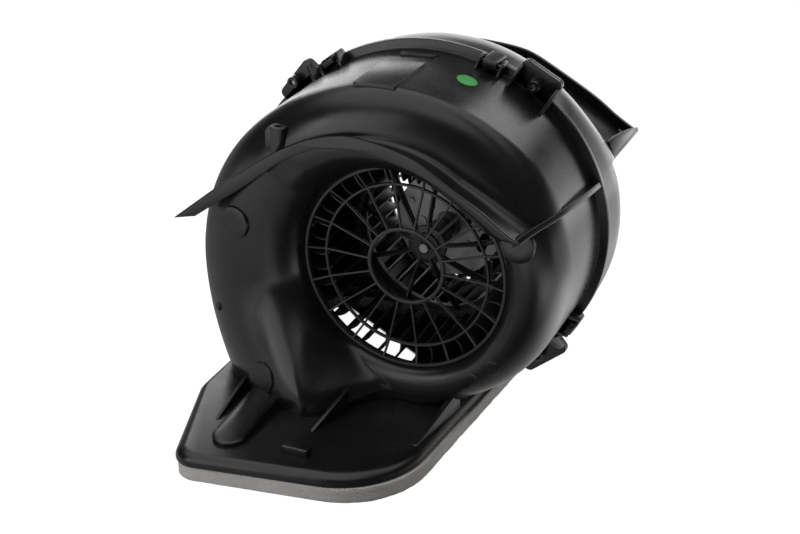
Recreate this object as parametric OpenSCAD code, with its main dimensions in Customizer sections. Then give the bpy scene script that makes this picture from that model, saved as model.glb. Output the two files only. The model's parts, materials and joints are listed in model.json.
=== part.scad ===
// Heater blower assembly: a double-inlet scroll housing with its caged fan
// wheel, DC motor and base flange. Millimetres, +Z up. The fan axis runs
// along Y, the inlet with the spoked grille faces -Y, and the origin is on
// the ground under the middle of the assembly.

/* [Scroll housing] */
// Radius of the scroll wall on the right, level with the fan axis
scroll_r = 102; // [101:0.5:103]
// Thickness of the moulded walls
wall_t = 2.5; // [2.2:0.1:2.8]
// How far the split flange stands out of the scroll wall
flange_w = 6; // [5:0.5:7]
// Inside radius of the two inlet throats
throat_r = 68; // [68:0.5:69]
// Width of the assembly from the front throat to the split plane
half_w = 72; // [72:0.5:74]

/* [Base] */
// Thickness of the foam seal under the base plate
foam_t = 10; // [6:1:12]
// Height of the rim of the base plate
rim_h = 8; // [6:0.5:9]
// Length of the outlet opening along the fan axis
outlet_l = 112; // [104:1:114]
// Width of the outlet opening
outlet_w = 103; // [90:1:106]

/* [Fan wheel] */
// Outside radius of the fan wheel
fan_r = 71; // [69:0.5:72]
// Inside radius of the blade row
blade_ri = 55; // [54:0.5:57]
// Number of blades
blade_n = 36; // [30:2:44]
// Thickness of a blade
blade_t = 1.2; // [1:0.1:1.6]
// Number of ribs on the hub dish
arm_n = 9; // [6:1:12]

/* [Grille] */
// Number of grille spokes
spoke_n = 18; // [12:2:24]
// Width of a grille spoke
spoke_w = 1.5; // [1.2:0.1:2]

/* [Motor] */
// Outside radius of the motor can
can_r = 36; // [34:0.5:37]
// Radius of the motor shaft
shaft_r = 3; // [2.5:0.25:3.5]
// Running clearance in the bearings
run_gap = 0.05; // [0.02:0.01:0.08]

/* [Hidden] */
$fn = 96;

// where the fan axis stands in the assembly's own frame
ax_x = 21.65;
ax_y = -26.4;
plate_top = -92;
plate_bot = plate_top - rim_h;
ax_z = -(plate_bot - foam_t);
split_y = half_w;

// ---- helpers -------------------------------------------------------------
module place() { translate([ax_x, ax_y, ax_z]) children(); }
module back_half() { translate([0, 2 * split_y, 0]) mirror([0, 1, 0]) children(); }
module at(th) { rotate([0, -th, 0]) children(); }
module ycyl(r, y0, y1, fn = 64) {
  translate([0, y0, 0]) rotate([-90, 0, 0]) cylinder(r = r, h = y1 - y0, $fn = fn);
}
module ytube(r0, r1, y0, y1, fn = 96) {
  translate([0, y0, 0]) rotate([-90, 0, 0]) difference() {
    cylinder(r = r1, h = y1 - y0, $fn = fn);
    translate([0, 0, -1]) cylinder(r = r0, h = y1 - y0 + 2, $fn = fn);
  }
}
module xz(y0, y1) { translate([0, y1, 0]) rotate([90, 0, 0]) linear_extrude(y1 - y0) children(); }
function clamp(x) = min(1, max(0, x));
function ss(a, b, x) = let (t = clamp((x - a) / (b - a))) t * t * (3 - 2 * t);
function unit(v) = v / norm(v);

// corner points of an outline, each [x, y, r], turned into round corners
function corner(a, b, c, r, n) =
  let (v1 = unit(a - b), v2 = unit(c - b), half = acos(v1 * v2) / 2,
       m = b + unit(v1 + v2) * r / sin(half),
       s = b + v1 * r / tan(half) - m, e = b + v2 * r / tan(half) - m,
       a0 = atan2(s[1], s[0]), d0 = atan2(e[1], e[0]) - a0,
       d = d0 > 180 ? d0 - 360 : d0 < -180 ? d0 + 360 : d0)
  [for (i = [0:n]) m + r * [cos(a0 + d * i / n), sin(a0 + d * i / n)]];
function rounded(p, n = 8) = let (k = len(p)) [for (i = [0:k - 1])
  let (a = p[(i + k - 1) % k], b = p[i], c = p[(i + 1) % k])
  each corner([a[0], a[1]], [b[0], b[1]], [c[0], c[1]], b[2], n)];

// ---- scroll shape --------------------------------------------------------
// radius of the scroll wall over the angle round the fan axis
function rw(th) = th <= 180
  ? scroll_r + 0.12 * th + 0.00045 * th * th + 6 * ss(130, 184, th)
  : let (d = min(th, 222) - 180) scroll_r + 42.2 + 0.35 * d;
// the rear half stands a little further out on the right and on the crown
function rwb(th) = rw(th) + 5 * ss(-78, -50, th) * (1 - ss(15, 45, th)) + 1.5 * ss(15, 45, th) * (1 - ss(110, 140, th));
// share of the lip at this angle
function lip(th) = ss(25, 29, th) * (1 - ss(132, 152, th));
// crest line: radius and depth, with the foot of the lip behind it. The front
// half (b = 0) has a lobe that sweeps forward over the base plate on the left,
// the rear half (b = 1) is shallower and its lip stands further out.
function rc_lip(th) = 77.5 + 0.0115 * pow(max(0, 60 - th), 2)
  + 4.6 * pow(max(0, th - 60) / 20, 1.1);
function rc_ring(th, b) = 80 + 18 * ss(115, 165, th)
  + (b ? -18 * ss(246, 262, th) : 6 * ss(205, 235, th) - 8 * ss(238, 250, th) - 16 * ss(247, 260, th));
function rc(th, b) = lip(th) * rc_lip(th) + (1 - lip(th)) * rc_ring(th, b);
function yc_ring(th, b) = b ? 15 - 10 * ss(30, 150, th) + 10 * ss(246, 262, th)
  : -12 - 13 * ss(30, 150, th) - 27 * ss(190, 243, th) + 40 * ss(246, 262, th);
function yc(th, b) = lip(th) * -30 + (1 - lip(th)) * yc_ring(th, b);
function yfoot(th, b) = b ? 14 - 8 * ss(40, 130, th) : -12 - 12 * ss(40, 130, th);
function yf(th, b) = max(yc(th, b) + 0.7, lip(th) * yfoot(th, b) + (1 - lip(th)) * (yc(th, b) + 0.7));
function ysh(th, b) = b ? 54 : 16 - 16 * ss(30, 90, th) + 10 * ss(120, 180, th);
function yth(b) = b ? 21 : -3;
function pol(r, th, y) = [r * cos(th), y, r * sin(th)];

NT = 60;
NF = 5;
NS = 5;
th_0 = -98;
// one closed section of a half shell
function sec(th, b) = let (rl = rc(th, b), yl = yc(th, b), yfo = yf(th, b), ys = ysh(th, b), w = b ? rwb(th) : rw(th),
    t = wall_t, rt = throat_r + 0.6, yt = yth(b), re = rl + t)
  concat(
    [for (i = [0:NF]) let (a = 90 * i / NF) pol(rt + (rl - rt) * (1 - cos(a)), th, yt + (yl - yt) * sin(a))],
    [pol(re, th, yl)],
    [for (i = [0:NS]) let (c = 90 * i / NS) pol(re + (w - re) * sin(c), th, ys + (yfo - ys) * cos(c))],
    [pol(w, th, split_y - 0.4), pol(w - t, th, split_y - 0.4)],
    [for (i = [NS:-1:0]) let (c = 90 * i / NS) pol(re + (w - t - re) * sin(c), th, ys + (yfo + t - ys) * cos(c))],
    [for (i = [NF - 1:-1:0]) let (a = 90 * i / NF)
      pol(rt + t + (re - rt - t) * (1 - cos(a)), th, yt + 2.5 + (yfo - yt) * sin(a))]);
module half_shell(b) {
  s = [for (i = [0:NT - 1]) sec(th_0 + 360 * i / NT, b)];
  m = len(s[0]);
  pts = [for (q = s) each q];
  fcs = [for (i = [0:NT - 1]) for (j = [0:m - 1])
    let (a = i * m + j, c = i * m + (j + 1) % m, d = ((i + 1) % NT) * m + (j + 1) % m, e = ((i + 1) % NT) * m + j)
    each [[a, e, c], [c, e, d]]];
  difference() {
    polyhedron(points = pts, faces = fcs, convexity = 10);
    translate([-250, -150, plate_top - 200 - (b ? 0 : 1.6)]) cube([500, 350, 200]);
  }
}
function wall_pts(a0, a1, off, st = 4) = [for (i = [0:round((a1 - a0) / st)])
  let (th = a0 + (a1 - a0) * i / round((a1 - a0) / st), r = rw(th) + off) [r * cos(th), r * sin(th)]];
// screw lugs: angle, half width and height over the scroll wall
lugs = [[142.5, 17, 12.4], [61.5, 14.5, 17.6], [-50.5, 17.5, 16.6]];
lug_th = [for (g = lugs) g[0]];
clip_th = [128.5, 76, -31.5];
// flange at the split plane, from angle a0, with its three screw lugs
module split_flange(a0) {
  o = wall_pts(a0, 215, flange_w);
  q = wall_pts(a0, 215, -1.2);
  xz(split_y - 2.6, split_y) union() {
    polygon(concat(o, [for (i = [len(q) - 1:-1:0]) q[i]]));
    for (g = lugs) rotate(g[0]) translate([rw(g[0]), 0])
      polygon([[-0.8, -g[1]], [g[2] - 4, -g[1]], [g[2], 3 - g[1]], [g[2], g[1] - 3], [g[2] - 4, g[1]], [-0.8, g[1]]]);
  }
}
module lug_holes(r) {
  for (th = lug_th) at(th) translate([rw(th) + 8, 0, 0]) ycyl(r, split_y - 12, split_y + 2, 32);
}
// outline of the turned lip, seen along the fan axis; e is how much further
// the right end of the rear lip reaches
function lip_out(e) = [[84 + e, 43], [73 + 0.7 * e, 50 + 0.15 * e], [59 + 0.5 * e, 60 + 0.3 * e],
  [40 + 0.3 * e, 71 + 0.4 * e], [22, 82 + 0.4 * e], [9, 87 + 0.3 * e], [-10, 91 + 0.1 * e], [-28, 92], [-49, 87], [-68, 78], [-85, 67], [-100, 56], [-115, 45], [-131, 32], [-148, 18]];
function lip_in(e) = [[-132, 22], [-113, 36], [-99, 46], [-85, 57], [-68, 70], [-49, 80], [-36, 83], [-20, 84],
  [-8, 83], [9, 79], [22, 75], [40, 66], [58, 56], [72 + 0.4 * e, 46], [81 + 0.6 * e, 40]];
module lip_ribbon(e) { xz(-30, -27.4) polygon(concat(lip_out(e), lip_in(e))); }
// wall that carries the free end of the lip on the left
module lip_fin(y1) {
  xz(-28, y1) polygon([[-68, 77.4], [-85, 66.4], [-100, 55.4], [-115, 44.4], [-123, 38], [-125, 35.6],
    [-117, 41.8], [-102, 52.4], [-87, 63], [-70, 73.4]]);
}
// shelf that runs back from the end of the lip to the split flange
module side_shelf(b, e) {
  at(24.5) translate([0, 0, -1.2]) linear_extrude(2.4) polygon(b
    ? [[86, -29.6], [94.5 + e, -29.6], [104, 40], [104, 62], [95, 45], [88, 24], [84, 15]]
    : [[84, -29.6], [94.5, -29.6], [107, 20], [rw(24.5) + flange_w - 0.5, split_y - 1], [rw(24.5) - 1, split_y - 1],
       [rw(24.5) - 1, 22], [90, -4], [84, -9]]);
}
module lug_boss(g, y0, y1) {
  th = g[0];
  at(th) {
    translate([rw(th) + 8, 0, 0]) ycyl(4, y0, y1, 32);
    // a stiffening rib at each end, grown out of the wall where it stands
    for (s = [0.1 - g[1], g[1] - 2.1]) {
      d = atan((s + 1) / rw(th));
      x0 = rw(th + d) * cos(d) - 1.2;
      translate([x0, y0 - 4, s]) cube([rw(th) + g[2] - 4.5 - x0, y1 - y0 + 4, 2]);
    }
  }
}
module disc_pad(x, z, r, y0, y1) { translate([x, 0, z]) ycyl(r, y0, y1, 64); }

// ---- base plate ----------------------------------------------------------
function base_outline(d) = rounded([[-129 + d, -41, 24], [-102 + d, -123 + d, 16 - d], [37 - d, -103 + d, 57 - d],
  [52 - d, 150 - d, 26 - d], [-129 + d, 150 - d, 26 - d]]);
out_x0 = -117;
out_y0 = split_y - outlet_l / 2;
function outlet_outline(d) = rounded([[out_x0 - d, out_y0 - d, 8], [out_x0 + outlet_w + d, out_y0 - d, 8],
  [out_x0 + outlet_w + d, out_y0 + outlet_l + d, 8], [out_x0 - d, out_y0 + outlet_l + d, 34]]);
module zx(z0, z1) { translate([0, 0, z0]) linear_extrude(z1 - z0) children(); }
module base_plate() {
  difference() {
    union() {
      zx(plate_top - 1, plate_top) polygon(base_outline(3));
      zx(plate_top - 2.5, plate_top - 1) polygon(base_outline(1.2));
      zx(plate_bot, plate_top - 2.5) polygon(base_outline(0));
    }
    zx(plate_bot - 1, plate_top + 1) polygon(outlet_outline(0));
    // hollow underside between the rim and the outlet collar
    difference() {
      zx(plate_bot - 1, plate_top - 3.5) polygon(base_outline(4));
      zx(plate_bot - 2, plate_top) polygon(outlet_outline(4));
    }
  }
}
// low rib from a toe on the plate back to the scroll
module gusset(x0, y0, x1, y1, h) {
  l = norm([x1 - x0, y1 - y0]);
  translate([x0, y0, plate_top - 0.6]) rotate([0, 0, atan2(y1 - y0, x1 - x0)]) rotate([90, 0, 0])
    translate([0, 0, -1.2]) linear_extrude(2.4) polygon([[0, 0], [l, 0], [l, h + 0.6], [0, 1.2]]);
}
module base_details() {
  // tongue with a round nose that runs out over the plate and slopes down to it
  intersection() {
    zx(plate_top - 0.6, plate_top + 12) {
      translate([-78.2, -92.2]) circle(r = 10.8, $fn = 64);
      translate([-89, -92.2]) square([21.6, 46]);
    }
    translate([-100, 0, plate_top]) rotate([90, 0, 90]) linear_extrude(50)
      polygon([[-104, -0.6], [-104, 3], [-46, 9], [-46, -0.6]]);
  }
  translate([-42, -94, plate_top - 0.6]) cube([17.5, 7.5, 5.6]);
  gusset(-96.3, -76.4, -97.6, -36, 9);
  gusset(-35.4, -66, -27, -34, 14.5);
  gusset(29.5, -55, 36, -3, 12);
}
// collar of an inlet throat
module throat(y0, y1) { ytube(throat_r, throat_r + wall_t + 0.1, y0, y1, 120); }
boss_x = -75;
boss_y = -21.5;
boss_z = 62;
boss_h = 26.5;

// ---- casings -------------------------------------------------------------
module front_casing() {
  color([0.09, 0.09, 0.09]) place() {
    difference() {
      union() {
        half_shell(0);
        split_flange(-74);
        throat(-4, 2.4);
        lip_ribbon(0);
        lip_fin(-10);
        side_shelf(0, 0);
        base_plate();
        base_details();
        translate([boss_x, boss_y, boss_z]) cylinder(r = 5.4, h = boss_h, $fn = 48);
        translate([boss_x - 8.4, boss_y - 0.8, boss_z]) cube([4, 1.6, boss_h - 1]);
        for (g = lugs) lug_boss(g, split_y - 10, split_y - 1.6);
        for (th = clip_th) at(th) for (s = [-9, 7])
          translate([rw(th) - 1, split_y - 12, s]) cube([9, 11, 2]);
        for (th = clip_th) at(th) translate([rw(th) + 3, split_y - 9, -7.5]) cube([3, 3, 15]);
        // raised pad and bar on the crown
        at(98.7) translate([rw(98.7) - 1.6, -2, -14.5]) cube([2.2, 45, 29]);
        at(98.2) translate([rw(98.2) - 1.6, 56, -12]) cube([2.4, 5, 24]);
        // round ejector pads on the bell mouth
        disc_pad(-107, 20, 10.5, -24.4, -17);
        disc_pad(-82, -77, 10.5, -43, -34);
        disc_pad(76.5, 33, 10.5, -12.8, -7);
      }
      translate([boss_x, boss_y, boss_z + boss_h - 16]) cylinder(r = 2, h = 20, $fn = 48);
      lug_holes(1.75);
    }
  }
}
module rear_casing() {
  color([0.11, 0.11, 0.11]) place() back_half() {
    difference() {
      union() {
        half_shell(1);
        split_flange(-62);
        throat(19.6, 24);
        lip_ribbon(10);
        lip_fin(16);
        side_shelf(1, 10);
        // snap hooks that reach over the flange of the front half
        for (th = clip_th) at(th) translate([0, 0, -6]) linear_extrude(12) polygon([for (q = [[-1, -6], [8.6, -6],
          [8.6, 13], [3.4, 13], [3.4, 9.6], [6.4, 9.6], [6.4, -0.8], [-1, -0.8]]) q + [rw(th), split_y]]);
        // tabs in the throat that the motor carrier is screwed to
        for (i = [0:3]) at(45 + 90 * i) translate([59, 19, -5.5]) cube([9.6, 3.2, 11]);
      }
      for (i = [0:3]) at(45 + 90 * i) translate([63, 0, 0]) ycyl(1.6, 10, 30, 32);
      lug_holes(2.2);
    }
  }
}
module inlet_guard() {
  color([0.16, 0.16, 0.16]) place() {
    ytube(65.8, throat_r, -5.6, -2.8, 120);
    ytube(53.7, 55.5, -1.8, 0.6, 120);
    ytube(23.4, 26.1, -1.8, 0.6, 96);
    for (i = [0:spoke_n - 1]) at(-2 + 360 * i / spoke_n)
      translate([0, 0, -spoke_w / 2]) linear_extrude(spoke_w)
        polygon([[25, -1.6], [54.6, -1.6], [66.6, -5.2], [66.6, -3.2], [54.6, 0.4], [25, 0.4]]);
  }
}
module base_gasket() {
  color([0.65, 0.64, 0.62]) place() difference() {
    zx(plate_bot - foam_t, plate_bot) polygon(base_outline(1));
    zx(plate_bot - foam_t - 1, plate_bot + 1) polygon(outlet_outline(2));
  }
}
module rating_label() {
  o = [for (i = [0:9]) let (th = 80.5 + 2 * i) (rwb(th) + 0.5) * [cos(th), sin(th)]];
  q = [for (i = [0:9]) let (th = 98.5 - 2 * i) (rwb(th) + 0.1) * [cos(th), sin(th)]];
  color("white") place() xz(split_y + 3.6, split_y + 12) polygon(concat(o, q));
}
module inspection_dot() {
  color([0.1, 0.75, 0.25]) place() at(78.4) translate([rw(78.4) + 0.04, 38.5, 0]) rotate([0, 95.5, 0]) cylinder(r = 6.6, h = 0.4, $fn = 48);
}
module casing_screws() {
  color([0.6, 0.6, 0.6]) place() for (th = lug_th) at(th) translate([rw(th) + 8, 0, 0]) {
    ycyl(1.75, split_y - 8, split_y + 2.6, 32);
    difference() {
      ycyl(2.8, split_y + 2.6, split_y + 5.4, 32);
      translate([0, split_y + 6, 0]) rotate([90, 0, 0]) cylinder(r = 1.6, h = 2, $fn = 6);
    }
  }
}

// ---- fan wheel -----------------------------------------------------------
fan_y0 = 3.2;
fan_y1 = 118;
rim_y0 = 46;
rim_y1 = 58;
dish_web = 1.2; // half width of an arm of the dish
module blade() {
  // forward-curved blade: a slice of a circular arc between the two row radii
  R = 15;
  intersection() {
    difference() {
      translate([62, -9]) circle(r = R, $fn = 64);
      translate([62, -9]) circle(r = R - blade_t, $fn = 64);
    }
    difference() {
      circle(r = fan_r + 0.2, $fn = 96);
      circle(r = blade_ri, $fn = 96);
    }
    translate([50, 0]) square([24, 8]);
  }
}
// window in the hub dish, centred on the +X axis
module dish_window() {
  intersection() {
    difference() {
      circle(r = blade_ri - 4.5, $fn = 96);
      circle(r = 13, $fn = 64);
    }
    polygon([[dish_web / sin(180 / arm_n), 0], [66, 66 * tan(180 / arm_n) - dish_web / cos(180 / arm_n)],
      [66, dish_web / cos(180 / arm_n) - 66 * tan(180 / arm_n)]]);
  }
}
module impeller() {
  color([0.1, 0.1, 0.1]) place() {
    difference() {
      union() {
        for (i = [0:blade_n - 1]) at(360 * i / blade_n) xz(fan_y0 + 0.3, fan_y1 - 0.3) blade();
        ytube(fan_r - 0.8, fan_r + 1.2, fan_y0, fan_y0 + 2.4, 120);
        ytube(fan_r - 0.8, fan_r + 1.2, fan_y1 - 2.4, fan_y1, 120);
        ytube(blade_ri - 2, blade_ri + 2.4, rim_y0, rim_y1, 120);
        // dish between the hub and the blade ring, open between its arms
        difference() {
          rotate([-90, 0, 0]) rotate_extrude($fn = 96) polygon([[8, 32], [16, 33.4], [30, 38], [44, 44.6], [blade_ri - 1, 51],
            [blade_ri - 1, 53.4], [43, 47], [29, 40.4], [16, 35.8], [8, 34.4]]);
          for (i = [0:arm_n - 1]) at(47 + 360 * (i + 0.5) / arm_n) xz(30, 60) dish_window();
        }
        // thin ribs along the arms
        for (i = [0:arm_n - 1]) at(47 + 360 * i / arm_n)
          translate([0, 0, -0.7]) linear_extrude(1.4) polygon([[8, 31], [16, 31.6], [30, 35.6], [blade_ri - 1, 47.4], [blade_ri - 1, 52], [30, 39.4], [16, 34.6], [8, 33.2]]);
        ycyl(9, 30, 54, 64);
      }
      ycyl(shaft_r, 20, 60, 64);
    }
  }
}
module impeller_clip() {
  color([0.2, 0.2, 0.2]) place() {
    difference() {
      ycyl(5.4, 29, 30, 48);
      ycyl(shaft_r, 20, 40, 64);
      for (i = [0:2]) at(60 * i) translate([-4.6, 28, -0.5]) cube([9.2, 3, 1]);
    }
  }
}

// ---- motor ---------------------------------------------------------------
can_y0 = 68;
can_y1 = 132;
module motor_shaft() {
  color([0.8, 0.8, 0.8]) place() {
    ycyl(shaft_r, 27, 143, 64);
    ycyl(shaft_r - 0.5, 26.4, 27, 64);
  }
}
module thrust_washers() {
  color([0.75, 0.6, 0.3]) place() {
    ytube(shaft_r, 5.5, 73.4, 74.6, 48);
    ytube(shaft_r, 5.5, 131.0, 132.0, 48);
  }
}
module front_bearing() { color([0.7, 0.55, 0.3]) place() ytube(shaft_r + run_gap, 7, 62, 73, 64); }
module rear_bearing() { color([0.7, 0.55, 0.3]) place() ytube(shaft_r + run_gap, 6.5, 132.4, 140, 64); }
module motor_can() {
  color([0.55, 0.56, 0.58]) place() ytube(can_r - 1.6, can_r, can_y0 + 2, can_y1, 96);
}
module motor_front_plate() {
  color([0.7, 0.71, 0.73]) place() difference() {
    union() {
      ycyl(can_r, can_y0, can_y0 + 2, 96);
      ycyl(9.2, 62, can_y0 + 5, 64);
      ycyl(can_r - 1.6, can_y0 + 2, can_y0 + 3.2, 96);
      // pressed ovals and rivet heads on the face
      for (i = [0:2]) at(70 + 120 * i) hull() for (s = [-3, 3]) translate([18, 0, s]) ycyl(2.9, can_y0 - 1, can_y0 + 1, 32);
      for (i = [0:2]) at(34 + 120 * i) translate([28.5, 0, 0]) ycyl(2, can_y0 - 1.5, can_y0 + 1, 32);
    }
    ycyl(7, 50, 90, 64);
    for (i = [0:2]) at(100 + 120 * i) hull() for (s = [-4, 4]) translate([26.5, 0, s]) ycyl(3.4, 60, 80, 32);
    for (i = [0:2]) at(16 + 120 * i) translate([15.3, 0, 0]) ycyl(2, 60, 80, 32);
    for (i = [0:1]) at(65 + 180 * i) translate([27, 0, 0]) ycyl(2.1, 60, 80, 32);
  }
}
module motor_rear_cap() {
  color([0.13, 0.13, 0.14]) place() difference() {
    union() {
      ycyl(can_r, can_y1, can_y1 + 4, 96);
      ycyl(12, can_y1 + 3, 144.6, 64);
      ycyl(can_r - 1.6, can_y1 - 1.2, can_y1, 96);
    }
    ycyl(6.5, 120, 140, 64);
    ycyl(5, 139, 143.4, 64);
    for (i = [0:2]) at(30 + 120 * i) translate([24, 0, 0]) ycyl(3.4, 120, 150, 32);
    for (i = [0:1]) at(65 + 180 * i) translate([27, 0, 0]) ycyl(1.5, 120, 150, 32);
    for (s = [-1, 1]) translate([0, 0, s * 26]) ycyl(1.6, 120, 150, 32);
  }
}
module motor_screws() {
  color([0.75, 0.75, 0.75]) place() for (i = [0:1]) at(65 + 180 * i) translate([27, 0, 0]) {
    ycyl(1.5, can_y0 - 0.2, can_y1 + 4, 32);
    ycyl(3, can_y0 - 2.4, can_y0, 32);
    ycyl(3, can_y1 + 4, can_y1 + 6, 6);
  }
}
module motor_magnets() {
  color([0.2, 0.2, 0.21]) place() for (s = [0, 180]) at(-25 + s)
    xz(78, 118) difference() {
      circle(r = can_r - 1.6);
      circle(r = 28.6);
      for (a = [0, 1]) mirror([0, a]) rotate(60) translate([-100, 0]) square([200, 100]);
      translate([-100, -100]) square([100, 200]);
    }
}
module armature_core() {
  color([0.45, 0.46, 0.48]) place() xz(85, 111) difference() {
    circle(r = 24);
    circle(r = shaft_r);
    for (i = [0:11]) rotate(30 * i) {
      translate([15, 0]) circle(r = 2.6, $fn = 32);
      translate([15, -2]) square([5.5, 4]);
      translate([19, -0.8]) square([8, 1.6]);
    }
  }
}
module armature_windings() {
  color([0.72, 0.4, 0.2]) place() {
    for (i = [0:11]) at(30 * i) {
      translate([15.0, 0, 0]) ycyl(2.3, 82, 114, 32);
      translate([15.5, 82, -1.7]) cube([4.4, 32, 3.4]);
    }
    translate([0, 81, 0]) rotate([-90, 0, 0]) rotate_extrude() translate([13.5, 0]) circle(r = 3.8, $fn = 48);
    translate([0, 115, 0]) rotate([-90, 0, 0]) rotate_extrude() translate([13.5, 0]) circle(r = 3.8, $fn = 48);
  }
}
module commutator() {
  color([0.78, 0.5, 0.25]) place() difference() {
    union() {
      ycyl(8.2, 118.5, 130.4, 64);
      ycyl(9.6, 117.2, 118.5, 64);
    }
    ycyl(shaft_r, 100, 140, 64);
    for (i = [0:11]) at(30 * i + 15) translate([7.2, 110, -0.25]) cube([3, 30, 0.5]);
  }
}
module brush_card() {
  color([0.35, 0.22, 0.12]) place() difference() {
    ycyl(can_r - 1.7, 129.2, 130.8, 96);
    ycyl(9.4, 120, 140, 64);
    for (i = [0:1]) at(65 + 180 * i) translate([27, 0, 0]) ycyl(2, 120, 140, 32);
    for (s = [-1, 1]) translate([0, 0, s * 26]) ycyl(1.6, 120, 150, 32);
  }
}
module brush_holders() {
  color([0.8, 0.65, 0.3]) place() for (s = [0, 180]) at(s) translate([0, 0, 0]) difference() {
    translate([10.5, 122.0, -4]) cube([16, 7.2, 8]);
    translate([9, 123.0, -3]) cube([20, 5.2, 6]);
  }
}
module brushes() {
  color([0.15, 0.15, 0.16]) place() for (s = [0, 180]) at(s)
    difference() {
      translate([7.4, 123.1, -2.9]) cube([11, 5.0, 5.8]);
      ycyl(8.4, 110, 140, 64);
    }
}
module brush_springs() {
  color([0.8, 0.8, 0.82]) place() for (s = [0, 180]) at(s) translate([18.4, 125.6, 0]) rotate([0, 90, 0])
    for (k = [0:4]) translate([0, 0, 0.35 + 1.5 * k]) rotate_extrude() translate([1.7, 0]) circle(r = 0.35, $fn = 16);
}

// ---- motor carrier in the rear inlet --------------------------------------
cup_r = 41.5;
car_y = 125;
module motor_carrier() {
  color([0.12, 0.12, 0.12]) place() difference() {
    union() {
      ytube(cup_r - 2.5, cup_r, 100, 140, 96);
      ytube(can_r - 4, cup_r, 137, 140, 96);
      ytube(62, 66.5, car_y, car_y + 4, 96);
      ytube(51, 52.8, car_y + 0.5, car_y + 3.5, 96);
      for (i = [0:11]) at(15 + 30 * i) translate([cup_r - 1, car_y, -1.2]) cube([22, 4, 2.4]);
      for (i = [0:3]) at(45 + 90 * i) {
        translate([cup_r - 1, car_y, -2]) cube([18.4, 5, 4]);
        translate([58.5, car_y, -5.5]) cube([6, 2.6, 11]);
        translate([63, 0, 0]) ycyl(4.6, car_y, car_y + 4, 32);
      }
      // seat of the speed regulator
      translate([-25, car_y + 3, -64]) cube([50, 3, 21]);
    }
    for (i = [0:3]) at(45 + 90 * i) translate([63, 0, 0]) ycyl(2.1, 110, 150, 32);
    for (s = [-20, 20]) translate([s, 0, -54]) ycyl(1.5, 110, 150, 32);
    translate([-13, 110, -60]) cube([26, 40, 12]);
  }
}
module damper_rings() {
  color([0.08, 0.08, 0.08]) place() {
    ytube(can_r, cup_r - 2.5, 102, 108, 96);
    ytube(can_r, cup_r - 2.5, 124, 130, 96);
  }
}
module carrier_screws() {
  color([0.6, 0.6, 0.6]) place() for (i = [0:3]) at(45 + 90 * i) translate([63, 0, 0]) {
    ycyl(1.6, 121.8, car_y + 4, 32);
    difference() {
      ycyl(3.8, car_y + 4, car_y + 6.6, 32);
      translate([0, car_y + 7, 0]) rotate([90, 0, 0]) cylinder(r = 1.6, h = 1.8, $fn = 6);
    }
  }
}
reg_y = car_y + 6;
module regulator_case() {
  color([0.14, 0.14, 0.15]) place() difference() {
    translate([-25, reg_y, -64]) cube([50, 9, 20]);
    for (s = [-20, 20]) translate([s, 0, -54]) ycyl(1.7, 110, 170, 32);
    translate([-11, reg_y + 5, -62]) cube([22, 10, 16]);
  }
}
module regulator_heatsink() {
  color([0.72, 0.73, 0.74]) place() {
    translate([-12.5, reg_y - 2.4, -59.5]) cube([25, 2.4, 11]);
    for (i = [0:5]) translate([-12.5 + 4.7 * i, reg_y - 10, -59.5]) cube([1.5, 7.7, 11]);
  }
}
module regulator_screws() {
  color([0.6, 0.6, 0.6]) place() for (s = [-20, 20]) translate([s, 0, -54]) {
    ycyl(1.5, car_y + 3.4, reg_y + 9, 32);
    ycyl(3, reg_y + 9, reg_y + 11, 32);
  }
}
module power_socket() {
  color([0.2, 0.2, 0.21]) place() difference() {
    translate([-11, reg_y + 5, -62]) cube([22, 14, 16]);
    translate([-9, reg_y + 7, -60]) cube([18, 20, 12]);
    for (i = [-1, 0, 1]) translate([5.6 * i - 1.2, reg_y, -54.8]) cube([2.4, 20, 1.6]);
  }
}
module socket_pins() {
  color([0.82, 0.8, 0.7]) place() for (i = [-1, 0, 1]) translate([5.6 * i - 1.2, reg_y + 5, -54.8]) cube([2.4, 10, 1.6]);
}
// leads from the brush gear, out through the end cap: a short one straight to
// the regulator and a longer one that lies on the carrier's spokes
lead_a = [[0, 131, -26], [0, 137, -26], [-1, 144, -28.5], [-6, 147.5, -36], [-12, 147, -43], [-15.5, 143.5, -47.5], [-16, 140.2, -49]];
lead_b = [[0, 131, 26], [0, 137, 26], [-2, 143, 28], [-9, 146.5, 32.5], [-20, 146.5, 36], [-31, 143.5, 37], [-41, 138.5, 33],
  [-48, 133, 25], [-53, 130.7, 14], [-55.5, 130.6, 2], [-52.5, 130.6, -9], [-52, 130.6, -17], [-46, 130.9, -27],
  [-39.5, 132.2, -36.5], [-34.5, 134.3, -45], [-30.5, 135.4, -51.5], [-25.2, 135.5, -54]];
// smooth line through all points of a route, s steps from each to the next
function between(p, k, t) = let (a = p[max(0, k - 1)], b = p[k], c = p[k + 1], d = p[min(len(p) - 1, k + 2)])
  0.5 * (2 * b + (c - a) * t + (2 * a - 5 * b + 4 * c - d) * t * t + (3 * b - a - 3 * c + d) * t * t * t);
function smooth_line(p, s) = concat([for (k = [0:len(p) - 2]) for (i = [0:s - 1]) between(p, k, i / s)], [p[len(p) - 1]]);
module wire(p, s, r) {
  k = 8;
  q = smooth_line(p, s);
  n = len(q) - 1;
  d = [for (i = [0:n]) unit(q[min(n, i + 1)] - q[max(0, i - 1)])];
  pts = [for (i = [0:n]) let (u = unit(cross(d[i], [1, 0.13, 0.21])), v = cross(d[i], u))
    each [for (j = [0:k - 1]) q[i] + r * (cos(360 * j / k) * u + sin(360 * j / k) * v)]];
  polyhedron(points = pts, faces = concat(
    [[for (j = [0:k - 1]) j]], [[for (j = [k - 1:-1:0]) n * k + j]],
    [for (i = [0:n - 1]) for (j = [0:k - 1]) each [
      [i * k + j, (i + 1) * k + j, i * k + (j + 1) % k],
      [i * k + (j + 1) % k, (i + 1) * k + j, (i + 1) * k + (j + 1) % k]]]));
}
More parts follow.
